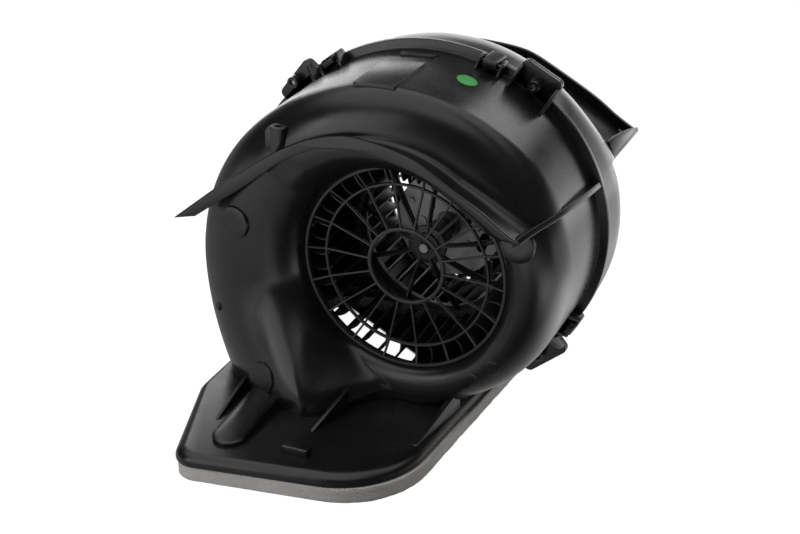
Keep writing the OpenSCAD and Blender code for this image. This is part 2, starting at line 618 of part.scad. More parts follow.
module motor_leads() {
  color([0.5, 0.08, 0.06]) place() {
    wire(lead_a, 3, 1.4);
    wire(lead_b, 3, 1.4);
  }
}

front_casing();
rear_casing();
inlet_guard();
base_gasket();
rating_label();
inspection_dot();
casing_screws();
impeller();
impeller_clip();
motor_shaft();
thrust_washers();
front_bearing();
rear_bearing();
motor_can();
motor_front_plate();
motor_rear_cap();
motor_screws();
motor_magnets();
armature_core();
armature_windings();
commutator();
brush_card();
brush_holders();
brushes();
brush_springs();
motor_carrier();
damper_rings();
carrier_screws();
regulator_case();
regulator_heatsink();
regulator_screws();
power_socket();
socket_pins();
motor_leads();
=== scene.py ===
import json
import math
import bpy
import bmesh
from mathutils import Matrix, Vector, noise
from mathutils.bvhtree import BVHTree


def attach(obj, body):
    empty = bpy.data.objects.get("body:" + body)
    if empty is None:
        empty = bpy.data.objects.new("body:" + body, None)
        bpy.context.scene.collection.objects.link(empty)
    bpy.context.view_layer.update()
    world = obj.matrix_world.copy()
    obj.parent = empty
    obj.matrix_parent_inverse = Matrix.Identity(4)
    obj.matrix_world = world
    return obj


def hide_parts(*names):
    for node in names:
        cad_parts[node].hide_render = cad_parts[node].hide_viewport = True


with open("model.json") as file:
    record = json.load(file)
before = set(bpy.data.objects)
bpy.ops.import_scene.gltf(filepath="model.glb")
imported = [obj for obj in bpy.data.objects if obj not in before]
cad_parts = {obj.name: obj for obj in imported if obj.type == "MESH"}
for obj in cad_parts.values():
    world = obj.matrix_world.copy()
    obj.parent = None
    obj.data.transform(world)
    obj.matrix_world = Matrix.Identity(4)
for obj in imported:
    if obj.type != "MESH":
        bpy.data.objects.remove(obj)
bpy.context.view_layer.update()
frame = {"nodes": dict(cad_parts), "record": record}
nodes = frame["nodes"]
scene = bpy.context.scene
rad = math.radians

# All shapes below are drawn in millimetres round the fan axis (x right, y back
# along the axis, z up) and moved into the shared frame by M().
axis_at = frame["record"]["behaviour"]["joints"][0]["pos_m"]
OFF = (axis_at[0] * 1000, axis_at[1] * 1000 - 85.0, axis_at[2] * 1000)


def M(p):
    return Vector(((p[0] + OFF[0]) / 1000, (p[1] + OFF[1]) / 1000, (p[2] + OFF[2]) / 1000))


# ---------------------------------------------------------------- camera
az, el = rad(23.8), rad(26.2)
v_back = Vector((math.sin(az) * math.cos(el), -math.cos(az) * math.cos(el), math.sin(el)))
v_right = Vector((math.cos(az), math.sin(az), 0))
v_up = v_back.cross(v_right)
cam_data = bpy.data.cameras.new("camera")
cam = bpy.data.objects.new("camera", cam_data)
scene.collection.objects.link(cam)
cam_at = M(-4.0 * v_right - 0.8 * v_up + 992.0 * v_back)
cam.matrix_world = Matrix((
    (v_right.x, v_up.x, v_back.x, cam_at.x),
    (v_right.y, v_up.y, v_back.y, cam_at.y),
    (v_right.z, v_up.z, v_back.z, cam_at.z),
    (0, 0, 0, 1)))
cam_data.sensor_fit = 'HORIZONTAL'
cam_data.sensor_width = 36
cam_data.lens = 72
cam_data.clip_start = 0.01
cam_data.clip_end = 50
scene.camera = cam
scene.view_settings.view_transform = 'Standard'
scene.view_settings.look = 'None'


# ---------------------------------------------------------------- materials
def mat(name, color, rough, metallic=0.0, ior=1.46, var=0.15, var_scale=30.0, rvar=0.06, rscale=60.0,
        bump=0.25, bscale=1600.0, bdist=0.00005, bump2=0.0, b2scale=250.0, stretch=None, edge=0.0, coat=0.0, sheen=0.0,
        speck=0.0, speck_color=(0.1, 0.1, 0.1), speck_scale=900.0):
    m = bpy.data.materials.new(name)
    m.use_nodes = True
    nt = m.node_tree
    nt.nodes.clear()
    out = nt.nodes.new("ShaderNodeOutputMaterial")
    bs = nt.nodes.new("ShaderNodeBsdfPrincipled")
    nt.links.new(bs.outputs[0], out.inputs[0])
    bs.inputs["Metallic"].default_value = metallic
    bs.inputs["IOR"].default_value = ior
    if coat:
        bs.inputs["Coat Weight"].default_value = coat
        bs.inputs["Coat Roughness"].default_value = 0.25
    if sheen:
        bs.inputs["Sheen Weight"].default_value = sheen
        bs.inputs["Sheen Roughness"].default_value = 0.5
    tc = nt.nodes.new("ShaderNodeTexCoord")
    src = tc.outputs["Object"]
    if stretch:
        mp = nt.nodes.new("ShaderNodeMapping")
        mp.inputs["Scale"].default_value = stretch
        nt.links.new(src, mp.inputs[0])
        src = mp.outputs[0]

    def nz(scale, detail=3.0, rough_=0.55):
        n = nt.nodes.new("ShaderNodeTexNoise")
        n.inputs["Scale"].default_value = scale
        n.inputs["Detail"].default_value = detail
        n.inputs["Roughness"].default_value = rough_
        nt.links.new(src, n.inputs["Vector"])
        return n.outputs["Fac"]

    # colour: a slow drift over the moulding
    ramp = nt.nodes.new("ShaderNodeValToRGB")
    ramp.color_ramp.elements[0].position = 0.3
    ramp.color_ramp.elements[1].position = 0.7
    lo = tuple(c * (1 - var) for c in color)
    hi = tuple(c * (1 + var) for c in color)
    ramp.color_ramp.elements[0].color = (*lo, 1)
    ramp.color_ramp.elements[1].color = (*hi, 1)
    nt.links.new(nz(var_scale), ramp.inputs[0])
    col = ramp.outputs[0]
    if edge:
        geo = nt.nodes.new("ShaderNodeNewGeometry")
        er = nt.nodes.new("ShaderNodeValToRGB")
        er.color_ramp.elements[0].position = 0.52
        er.color_ramp.elements[1].position = 0.62
        nt.links.new(geo.outputs["Pointiness"], er.inputs[0])
        wear = nt.nodes.new("ShaderNodeMath")
        wear.operation = 'MULTIPLY'
        nt.links.new(er.outputs[0], wear.inputs[0])
        nt.links.new(nz(220.0), wear.inputs[1])
        mx = nt.nodes.new("ShaderNodeMixRGB")
        nt.links.new(wear.outputs[0], mx.inputs[0])
        nt.links.new(col, mx.inputs[1])
        mx.inputs[2].default_value = (*[min(1.0, c * (1 + edge) + 0.01 * edge) for c in color], 1)
        col = mx.outputs[0]
    if speck:
        vo = nt.nodes.new("ShaderNodeTexVoronoi")
        vo.inputs["Scale"].default_value = speck_scale
        nt.links.new(src, vo.inputs["Vector"])
        sr = nt.nodes.new("ShaderNodeValToRGB")
        sr.color_ramp.elements[0].position = 0.08
        sr.color_ramp.elements[1].position = 0.16
        sr.color_ramp.elements[0].color = (speck, speck, speck, 1)
        sr.color_ramp.elements[1].color = (0, 0, 0, 1)
        nt.links.new(vo.outputs["Distance"], sr.inputs[0])
        sm = nt.nodes.new("ShaderNodeMixRGB")
        nt.links.new(sr.outputs[0], sm.inputs[0])
        nt.links.new(col, sm.inputs[1])
        sm.inputs[2].default_value = (*speck_color, 1)
        col = sm.outputs[0]
    nt.links.new(col, bs.inputs["Base Color"])
    # roughness: cloudy, as on a moulded skin that has been handled
    mr = nt.nodes.new("ShaderNodeMapRange")
    mr.inputs["From Min"].default_value = 0.3
    mr.inputs["From Max"].default_value = 0.7
    mr.inputs["To Min"].default_value = max(0.02, rough - rvar)
    mr.inputs["To Max"].default_value = min(1.0, rough + rvar)
    nt.links.new(nz(rscale, 4.0), mr.inputs["Value"])
    nt.links.new(mr.outputs[0], bs.inputs["Roughness"])
    # fine grain
    b1 = nt.nodes.new("ShaderNodeBump")
    b1.inputs["Strength"].default_value = bump
    b1.inputs["Distance"].default_value = bdist
    nt.links.new(nz(bscale, 2.0), b1.inputs["Height"])
    last = b1
    if bump2:
        b2 = nt.nodes.new("ShaderNodeBump")
        b2.inputs["Strength"].default_value = bump2
        b2.inputs["Distance"].default_value = bdist * 3
        nt.links.new(nz(b2scale, 2.0), b2.inputs["Height"])
        nt.links.new(b1.outputs[0], b2.inputs["Normal"])
        last = b2
    nt.links.new(last.outputs[0], bs.inputs["Normal"])
    return m


MATS = {
    "casing_plastic": mat("casing_plastic", (0.0062, 0.0061, 0.0065), 0.265, ior=1.46, var=0.2, var_scale=18, rvar=0.04, rscale=45,
                          bump=0.25, bscale=2200, bdist=0.00003, bump2=0.08, b2scale=160, edge=1.0),
    "guard_plastic": mat("guard_plastic", (0.019, 0.019, 0.02), 0.38, var=0.2, var_scale=40, rvar=0.06, bump=0.3, bscale=2400, edge=0.8),
    "seal_foam": mat("seal_foam", (0.44, 0.427, 0.418), 0.95, ior=1.3, var=0.08, var_scale=60, rvar=0.04, bump=0.7, bscale=1100, bdist=0.0006,
                     bump2=0.5, b2scale=420, sheen=0.2, speck=0.4, speck_color=(0.2, 0.19, 0.185), speck_scale=1100),
    "label_paper": mat("label_paper", (0.36, 0.36, 0.355), 0.5, var=0.05, var_scale=120, rvar=0.05, bump=0.15, bscale=1500),
    "green_ink": mat("green_ink", (0.045, 0.3, 0.06), 0.6, var=0.12, var_scale=160, rvar=0.06, bump=0.4, bscale=1300),
    "zinc_steel": mat("zinc_steel", (0.34, 0.34, 0.335), 0.38, metallic=1.0, var=0.15, var_scale=110, rvar=0.1, rscale=160, bump=0.25, bscale=900),
    "fan_plastic": mat("fan_plastic", (0.01, 0.01, 0.0105), 0.44, var=0.2, var_scale=40, rvar=0.06, bump=0.3, bscale=2000, edge=0.8),
    "phosphate_steel": mat("phosphate_steel", (0.045, 0.045, 0.046), 0.45, metallic=1.0, var=0.15, rvar=0.08, bump=0.3, bscale=1500),
    "shaft_steel": mat("shaft_steel", (0.3, 0.285, 0.26), 0.36, metallic=1.0, var=0.06, rvar=0.08, bump=0.2, bscale=700, stretch=(1, 0.08, 1)),
    "bearing_bronze": mat("bearing_bronze", (0.2, 0.165, 0.12), 0.45, metallic=1.0, var=0.12, rvar=0.08, bump=0.35, bscale=1800, speck=0.5,
                          speck_color=(0.2, 0.12, 0.05), speck_scale=2200),
    "can_steel": mat("can_steel", (0.4, 0.41, 0.42), 0.34, metallic=1.0, var=0.12, rvar=0.1, rscale=130, bump=0.2, bscale=700, stretch=(1, 0.15, 1)),
    "dark_plastic": mat("dark_plastic", (0.016, 0.016, 0.018), 0.5, var=0.15, rvar=0.07, bump=0.5, bscale=1500, edge=0.8),
    "ferrite": mat("ferrite", (0.03, 0.03, 0.031), 0.55, metallic=0.2, var=0.2, bump=0.4, bscale=1800),
    "lamination_steel": mat("lamination_steel", (0.28, 0.29, 0.31), 0.4, metallic=1.0, var=0.15, bump=0.5, bscale=700, stretch=(0.1, 3, 0.1)),
    "copper": mat("copper", (0.5, 0.2, 0.08), 0.32, metallic=1.0, var=0.15, bump=0.4, bscale=900),
    "card_board": mat("card_board", (0.16, 0.085, 0.04), 0.6, var=0.2, var_scale=200, bump=0.4, bscale=900),
    "brass": mat("brass", (0.6, 0.43, 0.17), 0.3, metallic=1.0, var=0.1, bump=0.2, bscale=800),
    "carbon": mat("carbon", (0.02, 0.02, 0.02), 0.6, var=0.2, bump=0.4, bscale=2000),
    "spring_steel": mat("spring_steel", (0.55, 0.55, 0.57), 0.25, metallic=1.0, var=0.06, bump=0.15),
    "damper_rubber": mat("damper_rubber", (0.015, 0.015, 0.015), 0.75, var=0.2, bump=0.5, bscale=1200),
    "aluminium": mat("aluminium", (0.55, 0.56, 0.57), 0.36, metallic=1.0, var=0.08, bump=0.3, bscale=600, stretch=(0.15, 1, 1)),
    "tinned_pin": mat("tinned_pin", (0.62, 0.6, 0.53), 0.3, metallic=1.0, var=0.08, bump=0.2),
    "lead_insulation": mat("lead_insulation", (0.16, 0.02, 0.014), 0.5, var=0.15, var_scale=90, bump=0.3, bscale=1500),
}


# ---------------------------------------------------------------- mesh tools
def ss(a, b, x):
    t = min(1.0, max(0.0, (x - a) / (b - a)))
    return t * t * (3 - 2 * t)


def spin(th):
    """Point from (radius, y, along the tangent) in a frame turned by th degrees round the fan axis."""
    c, s = math.cos(rad(th)), math.sin(rad(th))
    return lambda r, y, t=0.0: Vector((r * c - t * s, y, r * s + t * c))


class Part:
    """Closed pieces that are moulded in one, gathered into one mesh."""

    def __init__(self):
        self.bm = bmesh.new()

    def add(self, bm, bevel=0.0, seg=2, angle=28.0):
        bmesh.ops.recalc_face_normals(bm, faces=bm.faces[:])
        if bevel:
            sharp = [e for e in bm.edges if e.is_manifold and e.calc_face_angle(0.0) > rad(angle)]
            bmesh.ops.bevel(bm, geom=sharp, offset=bevel, offset_type='OFFSET', segments=seg, profile=0.5,
                            affect='EDGES', clamp_overlap=True)
        me = bpy.data.meshes.new("tmp")
        bm.to_mesh(me)
        bm.free()
        self.bm.from_mesh(me)
        bpy.data.meshes.remove(me)

    def obj(self, name, slot, body="housing", sharp=32.0):
        for v in self.bm.verts:
            v.co = M(v.co)
        me = bpy.data.meshes.new(name)
        self.bm.to_mesh(me)
        self.bm.free()
        for p in me.polygons:
            p.use_smooth = True
        me.set_sharp_from_angle(angle=rad(sharp))
        ob = bpy.data.objects.new(name, me)
        scene.collection.objects.link(ob)
        me.materials.append(MATS[slot])
        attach(ob, body)
        return ob


def prism(pts, vec):
    """Solid from a flat outline of 3-D points, drawn out along vec."""
    bm = bmesh.new()
    a = [bm.verts.new(p) for p in pts]
    b = [bm.verts.new(Vector(p) + Vector(vec)) for p in pts]
    n = len(pts)
    bm.faces.new(a)
    bm.faces.new(b)
    for i in range(n):
        bm.faces.new((a[i], a[(i + 1) % n], b[(i + 1) % n], b[i]))
    return bm


def loft(rings, caps=True, closed=False):
    """Skin over closed rings with the same number of points."""
    bm = bmesh.new()
    vs = [[bm.verts.new(p) for p in r] for r in rings]
    n = len(rings[0])
    k = len(rings)
    for i in range(k if closed else k - 1):
        p, q = vs[i], vs[(i + 1) % k]
        for j in range(n):
            bm.faces.new((p[j], p[(j + 1) % n], q[(j + 1) % n], q[j]))
    if caps and not closed:
        bm.faces.new(vs[0])
        bm.faces.new(vs[-1])
    return bm


def lathe(profile, at, axis, n=64):
    """Closed ring solid: profile of (radius, height) turned about an axis."""
    axis = Vector(axis).normalized()
    u = axis.orthogonal().normalized()
    w = axis.cross(u)
    at = Vector(at)
    rings = []
    for i in range(n):
        a = 2 * math.pi * i / n
        d = u * math.cos(a) + w * math.sin(a)
        rings.append([at + d * r + axis * h for r, h in profile])
    return loft(rings, closed=True)


def solid_lathe(profile, at, axis, n=64):
    """Solid of revolution whose profile starts and ends off the axis; the ends are capped."""
    axis = Vector(axis).normalized()
    u = axis.orthogonal().normalized()
    w = axis.cross(u)
    at = Vector(at)
    rings = [[at + (u * math.cos(2 * math.pi * i / n) + w * math.sin(2 * math.pi * i / n)) * r + axis * h for i in range(n)]
             for r, h in profile]
    return loft(rings)


def block(th, r0, r1, y0, y1, t0, t1):
    f = spin(th)
    return prism([f(r0, y0, t0), f(r1, y0, t0), f(r1, y1, t0), f(r0, y1, t0)], f(0, 0, t1 - t0))


def plate_ry(th, pts, t0, t1):
    """Flat plate that stands along the radius: outline in (radius, y), thickness along the tangent."""
    f = spin(th)
    return prism([f(r, y, t0) for r, y in pts], f(0, 0, t1 - t0))


def smooth(pts, k):
    """Points on a smooth line through all points, k steps from each to the next."""
    out = []
    n = len(pts)
    for i in range(n - 1):
        a, b, c, d = (Vector(pts[max(0, i - 1)]), Vector(pts[i]), Vector(pts[i + 1]), Vector(pts[min(n - 1, i + 2)]))
        for j in range(k):
            t = j / k
            out.append(0.5 * (2 * b + (c - a) * t + (2 * a - 5 * b + 4 * c - d) * t * t + (3 * b - a - 3 * c + d) * t ** 3))
    out.append(Vector(pts[-1]))
    return out


def rounded(corners, n=14):
    out = []
    k = len(corners)
    for i in range(k):
        a, b, c = (Vector(corners[(i + j) % k][:2]) for j in (-1, 0, 1))
        r = corners[i][2]
        v1, v2 = (a - b).normalized(), (c - b).normalized()
        half = math.acos(max(-1, min(1, v1.dot(v2)))) / 2
        m = b + (v1 + v2).normalized() * r / math.sin(half)
        s, e = b + v1 * r / math.tan(half) - m, b + v2 * r / math.tan(half) - m
        a0 = math.atan2(s.y, s.x)
        d = math.atan2(e.y, e.x) - a0
        d = d - 2 * math.pi if d > math.pi else d + 2 * math.pi if d < -math.pi else d
        out += [(m.x + r * math.cos(a0 + d * j / n), m.y + r * math.sin(a0 + d * j / n)) for j in range(n + 1)]
    return out


# ---------------------------------------------------------------- leads
def lead(name, pts, steps):
    q = [M(p) for p in smooth(pts, steps)]
    cu = bpy.data.curves.new(name, 'CURVE')
    cu.dimensions = '3D'
    sp = cu.splines.new('POLY')
    sp.points.add(len(q) - 1)
    for p, v in zip(sp.points, q):
        p.co = (*v, 1)
    cu.bevel_depth = 0.0014
    cu.bevel_resolution = 5
    cu.use_fill_caps = True
    ob = bpy.data.objects.new(name, cu)
    scene.collection.objects.link(ob)
    cu.materials.append(MATS["lead_insulation"])
    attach(ob, "housing")
    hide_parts("motor_leads")
    return ob


lead("lead_short", [(0, 131, -26), (0, 137, -26), (-1, 144, -28.5), (-6, 147.5, -36), (-12, 147, -43), (-15.5, 143.5, -47.5),
                    (-16, 140.2, -49)], 4)
lead("lead_long", [(0, 131, 26), (0, 137, 26), (-2, 143, 28), (-9, 146.5, 32.5), (-20, 146.5, 36), (-31, 143.5, 37), (-41, 138.5, 33),
                   (-48, 133, 25), (-53, 130.7, 14), (-55.5, 130.6, 2), (-52.5, 130.6, -9), (-52, 130.6, -17), (-46, 130.9, -27),
                   (-39.5, 132.2, -36.5), (-34.5, 134.3, -45), (-30.5, 135.4, -51.5), (-25.2, 135.5, -54)], 2)

# ---------------------------------------------------------------- scroll shape
SPLIT = 72.0
T = 2.5
TOP = -92.0
BOT = -100.0


def rw(th):
    if th <= 180:
        return 102 + 0.12 * th + 0.00045 * th * th + 6 * ss(130, 184, th)
    return 144.2 + 0.35 * (min(th, 222) - 180)


def rwb(th):
    return rw(th) + 5 * ss(-78, -50, th) * (1 - ss(15, 45, th)) + 1.5 * ss(15, 45, th) * (1 - ss(110, 140, th))


def wall_r(th, b):
    if b:
        return rwb(th)
    return rw(th) + (10 * (1 - ss(-85, -60, th)) if th < 0 else 0)


def lip_weight(th, r, b):
    """Share of the turned lip at this angle; it ends sharply outside and melts into the funnel inside."""
    a = 24.2 if b else 26.8
    wide = 1 + 13 * min(1.0, max(0.0, (86 - r) / 16))
    return ss(a, a + wide, th) * (1 - (ss(132, 152, th) if b else ss(128, 146, th)))


def one_section(th, b, lip, n_f=24, n_s=28, n_i=12):
    """One closed section of a half shell as (radius, y) points, y counted back from its own front."""
    if b:
        rl = 80 + 18 * ss(115, 165, th)
        yl = 15 - 10 * ss(30, 150, th)
        ys, yt, neck = 54.0, 21.0, 3.0
    else:
        rl = 80 + 18 * ss(100, 146, th) + 6 * ss(205, 235, th) - 8 * ss(238, 252, th)
        yl = -12 - 13 * ss(30, 150, th) - 27 * ss(190, 243, th)
        ys, yt, neck = 16 - 16 * ss(30, 90, th) + 10 * ss(120, 180, th), -3.0, 5.4
    yf = yl
    if lip:
        rl = 77.5 + 0.0115 * max(0, 60 - th) ** 2 + 4.6 * (max(0, th - 60) / 20) ** 1.1
        yl = -30.0
        yf = 14 - 8 * ss(40, 130, th) if b else -12 - 12 * ss(40, 130, th)
    w = wall_r(th, b)
    rt = 68.0
    re = rl + T
    pts = [(rt + T - 0.1, yt + neck), (rt + 0.45, yt + neck), (rt, yt + neck - 0.45), (rt, yt + 0.8)]
    for i in range(n_f + 1):
        a = 0.5 * math.pi * i / n_f
        pts.append((rt + (rl - rt) * (1 - math.cos(a)), yt + (yl - yt) * math.sin(a)))
    if lip:
        rr = 0.9
        for a in (0.0, 0.4, 0.8, 1.2, 0.5 * math.pi):
            pts.append((re - rr + rr * math.sin(a), yl + rr * (1 - math.cos(a))))
        rf = max(0.5, min(8.0, 0.5 * (yf - yl - 2)))
        pts.append((re, 0.5 * (yl + rr + yf - rf)))
        c0 = math.asin(min(0.9, rf / (w - re)))
        sx, sy = re + (w - re) * math.sin(c0), ys + (yf - ys) * math.cos(c0)
        for i in range(6):
            t = i / 6
            pts.append(((1 - t) ** 2 * re + 2 * t * (1 - t) * re + t * t * sx,
                        (1 - t) ** 2 * (yf - rf) + 2 * t * (1 - t) * yf + t * t * sy))
    else:
        # round crest
        for i in range(6):
            t = (i + 1) / 7
            pts.append((rl + T * t, yl - 0.05 * math.sin(math.pi * t)))
        c0 = 0.16
        for i in range(6):
            c = c0 * i / 6
            pts.append((re + (w - re) * math.sin(c), ys + (yf - ys) * math.cos(c)))
    for i in range(n_s + 1):
        c = c0 + (0.5 * math.pi - c0) * i / n_s
        pts.append((re + (w - re) * math.sin(c), ys + (yf - ys) * math.cos(c)))
    for t in (0.35, 0.7, 1.0):
        pts.append((w, ys + (SPLIT - 0.05 - ys) * t))
    pts.append((w - T, SPLIT - 0.05))
    for i in range(n_i, -1, -1):
        c = 0.5 * math.pi * i / n_i
        pts.append((re + (w - T - re) * math.sin(c), ys + (yf + T - ys) * math.cos(c)))
    for i in range(n_i - 1, -1, -1):
        a = 0.5 * math.pi * i / n_i
        pts.append((rt + T + (re - rt - T) * (1 - math.cos(a)), yt + T + (yf - yt) * math.sin(a)))
    return pts


def section(th, b):
    ring = one_section(th, b, False)
    if not 24 < th < 152:
        return ring
    out = []
    for (ra, ya), (rb, y2) in zip(ring, one_section(th, b, True)):
        k = lip_weight(th, 0.5 * (ra + rb), b)
        out.append((ra + (rb - ra) * k, ya + (y2 - ya) * k))
    return out


def flank_end(r):
    """Angle at which the lobe has ended, over the radius."""
    tab = ((72.8, 244.0), (75.5, 248.0), (80.2, 255.0), (84.9, 262.6), (92.0, 268.0))
    if r <= tab[0][0]:
        return tab[0][1]
    for (r0, a0), (r1, a1) in zip(tab, tab[1:]):
        if r <= r1:
            return a0 + (a1 - a0) * (r - r0) / (r1 - r0)
    return tab[-1][1]


def half_shell(b, cut):
    ths = []
    th = -80.0
    while th < 280 - 1e-6:
        ths.append(th)
        th += 0.25 if 24 <= th < 29 else 0.5 if (th >= 216 or 29 <= th < 42) else 1.0
    rings = []
    for th in ths:
        A = section(th, b)
        if th > 216:
            C = []
            for (ra, ya), (rb, yb) in zip(A, section(th - 360, b)):
                if b:
                    w = 1 - ss(248, 262, th)
                else:
                    # the lobe ends in a flank that leans outward from the throat
                    u = max(0.0, (flank_end(min(0.5 * (ra + rb), 92.0)) - th) / 24)
                    m_ = u if u < 0.65 else 1.0 if u > 1.35 else u - (u - 0.65) ** 2 / 1.4
                    w = 0.25 * m_ + 0.75 * ss(0.15, 1.15, u)
                C.append((ra * w + rb * (1 - w), ya * w + yb * (1 - w)))
            A = C
        f = spin(th)
        rings.append([f(r, 144 - y if b else y) for r, y in A])
    bm = loft(rings, closed=True)
    bmesh.ops.remove_doubles(bm, verts=bm.verts[:], dist=0.004)
    bmesh.ops.recalc_face_normals(bm, faces=bm.faces[:])
    res = bmesh.ops.bisect_plane(bm, geom=bm.verts[:] + bm.edges[:] + bm.faces[:], dist=1e-4,
                                 plane_co=(0, 0, cut), plane_no=(0, 0, -1), clear_outer=True)
    rim = [e for e in bm.edges if e.is_boundary]
    bmesh.ops.triangle_fill(bm, edges=rim, use_beauty=True, use_dissolve=False)
    return bm


# ---------------------------------------------------------------- features shared by both halves
# screw lugs: angle, half width, height over the scroll wall
LUGS = ((142.5, 17.0, 12.4), (61.5, 14.5, 17.6), (-50.5, 17.5, 16.6))
CLIPS = (128.5, 76.0, -31.5)


def lip_out(e):
    return [(83.7 + 1.03 * e, 43.8 - 0.08 * e), (73 + 0.7 * e, 50 + 0.15 * e), (59 + 0.5 * e, 60 + 0.3 * e), (40 + 0.3 * e, 71 + 0.4 * e),
            (22, 82 + 0.4 * e), (9, 87 + 0.3 * e), (-10, 91 + 0.1 * e), (-28, 92), (-49, 87), (-68, 78), (-85, 67), (-100, 56), (-115, 45),
            (-131, 32), (-148, 18)]


def lip_in(e):
    return [(-132, 22), (-113, 36), (-99, 46), (-85, 57), (-68, 70), (-49, 80), (-36, 83), (-20, 84), (-8, 83), (9, 79), (22, 75), (40, 66),
            (58, 56), (73.6 + 0.24 * e, 45.8), (81.1 + 0.59 * e, 42.8 - 0.28 * e)]


FIN = [(-55, 83.6), (-68, 77.4), (-85, 66.4), (-100, 55.4), (-115, 44.4), (-123, 38), (-125, 35.6), (-117, 41.8), (-102, 52.4), (-87, 63), (-70, 73.4), (-57, 80)]
HEEL = [(-131.5, 22.6), (-122, 29.8), (-113.4, 36.2), (-115, 38.4), (-123.6, 32), (-133, 24.8)]


def lip_parts(part, e, back):
    """Turned lip, with the walls under its free end."""
    def y(v):
        return 144 - v if back else v
    o = [p.to_2d() for p in smooth([(a, b, 0) for a, b in lip_out(e)], 5)]
    i = [p.to_2d() for p in smooth([(a, b, 0) for a, b in lip_in(e)], 5)]
    ring = o + i
    part.add(prism([Vector((x, y(-30.25), z)) for x, z in ring], (0, y(-27.4) - y(-30.25), 0)), bevel=0.5, seg=3)
    depth = 16 if back else -10
    part.add(prism([Vector((x, y(-28), z)) for x, z in FIN], (0, y(depth) - y(-28), 0)), bevel=0.3)
    part.add(prism([Vector((x, y(-28), z)) for x, z in HEEL], (0, y(12 if back else -17) - y(-28), 0)), bevel=0.3)


def lug_outline(hw, h, n=6):
    """Outline of a lug over the wall as (height, along the tangent), with round outer corners."""
    out = [(-0.8, -hw)]
    for s in (-1, 1):
        arc = [(h - 4 + 4 * math.sin(0.5 * math.pi * k / n), s * (hw - 4 + 4 * math.cos(0.5 * math.pi * k / n))) for k in range(n + 1)]
        out += arc if s < 0 else arc[::-1]
    return out + [(-0.8, hw)]


def flange(part, a0, back):
    y0, y1 = (SPLIT + 0.05, SPLIT + 2.6) if back else (SPLIT - 2.6, SPLIT - 0.05)
    outer = y1 if back else y0
    inner = y0 if back else y1
    s = 1 if back else -1
    prof = [(-1.2, inner), (6.0, inner), (6.0, outer - s * 0.7), (5.8, outer - s * 0.25), (5.3, outer), (0.9, outer),
            (0.35, outer + s * 0.2), (0.1, outer + s * 0.7), (-1.2, outer + s * 0.9)]
    n = int((215 - a0) / 1.0)
    rings = []
    for k in range(n + 1):
        th = a0 + (215 - a0) * k / n
        f = spin(th)
        rings.append([f(rw(th) + d, yy) for d, yy in prof])
    part.add(loft(rings))
    for th, hw, h in LUGS:
        f = spin(th)
        part.add(prism([f(rw(th) + r, y0, t) for r, t in lug_outline(hw, h)], (0, y1 - y0, 0)), bevel=0.5, seg=3)


def shelf(part, stations, t=1.2):
    """Plate that runs back from the end of the lip: at each y an angle and the two edge radii."""
    rings = []
    for y, th, r0, r1 in stations:
        f = spin(th)
        rings.append([f(r0, y, -t), f(r1, y, -t), f(r1, y, t), f(r0, y, t)])
    part.add(loft(rings), bevel=0.5, seg=3, angle=40)


# ---------------------------------------------------------------- front casing
front = Part()
shell = half_shell(0, TOP - 1.0)
tree = BVHTree.FromBMesh(shell)
front.add(shell)


def on_front(x, z):
    """Where the bell mouth's skin is at (x, z), and which way it faces."""
    hit = tree.ray_cast(Vector((x, -120, z)), Vector((0, 1, 0)))
    n = hit[1]
    return hit[0], (n if n.y < 0 else -n)


lip_parts(front, 0, False)
flange(front, -74, False)
shelf(front, [(-29.8, 28.3, 89.5, 94.6), (-22, 28.1, 89, 96.6), (-14, 27.8, 88.5, 99), (-9, 27.6, 91, 100.6), (-4, 27.3, 95.5, 102.4),
              (6, 26.9, 100, 105.4), (22, 26.2, 102.5, 108.2), (45, 25.0, 103.6, 109.6), (70.5, 24.0, 103.6, 110.8)], 1.9)

for th, hw, h in LUGS:
    w = rw(th)
    f = spin(th)
    front.add(lathe([(1.8, 0), (1.8, -8.0), (2.15, -8.4), (3.5, -8.4), (4.0, -7.9), (4.3, 0)], f(w + 8, 70.4), (0, 1, 0), 48))
    for t0 in ((0.1 - hw,) if th > 100 else (0.1 - hw, hw - 2.1)):
        d = math.atan((t0 + 1) / w)
        x0 = rw(th + math.degrees(d)) * math.cos(d) - 1.2
        front.add(plate_ry(th, [(x0, 57), (x0 + 3, 57.6), (w + h - 7, 62.5), (w + h - 4.6, 65.5), (w + h - 3.6, 70.4), (x0, 70.4)], t0, t0 + 2),
                  bevel=0.4, seg=3)
for th in CLIPS:
    w = rw(th)
    for t0 in (-8.4, 6.6):
        front.add(plate_ry(th, [(w - 1, 58), (w + 3, 58.8), (w + 8, 62), (w + 8, 70.6), (w - 1, 70.6)], t0, t0 + 1.8), bevel=0.35)
    front.add(block(th, w + 3, w + 6, 63, 66, -7, 7), bevel=0.5)

# raised pad and bar on the crown
for x0, z0, x1, z1, y0, y1 in ((-32.9, 117.2, -5.7, 118.2, -5, 42), (-28.4, 117.5, -5.5, 118.4, 54.5, 59.5)):
    front.add(prism([Vector((x0, y0, z0)), Vector((x1, y0, z1)), Vector((x1, y0, z1 - 4)), Vector((x0, y0, z0 - 4))], (0, y1 - y0, 0)), bevel=0.4, seg=3)

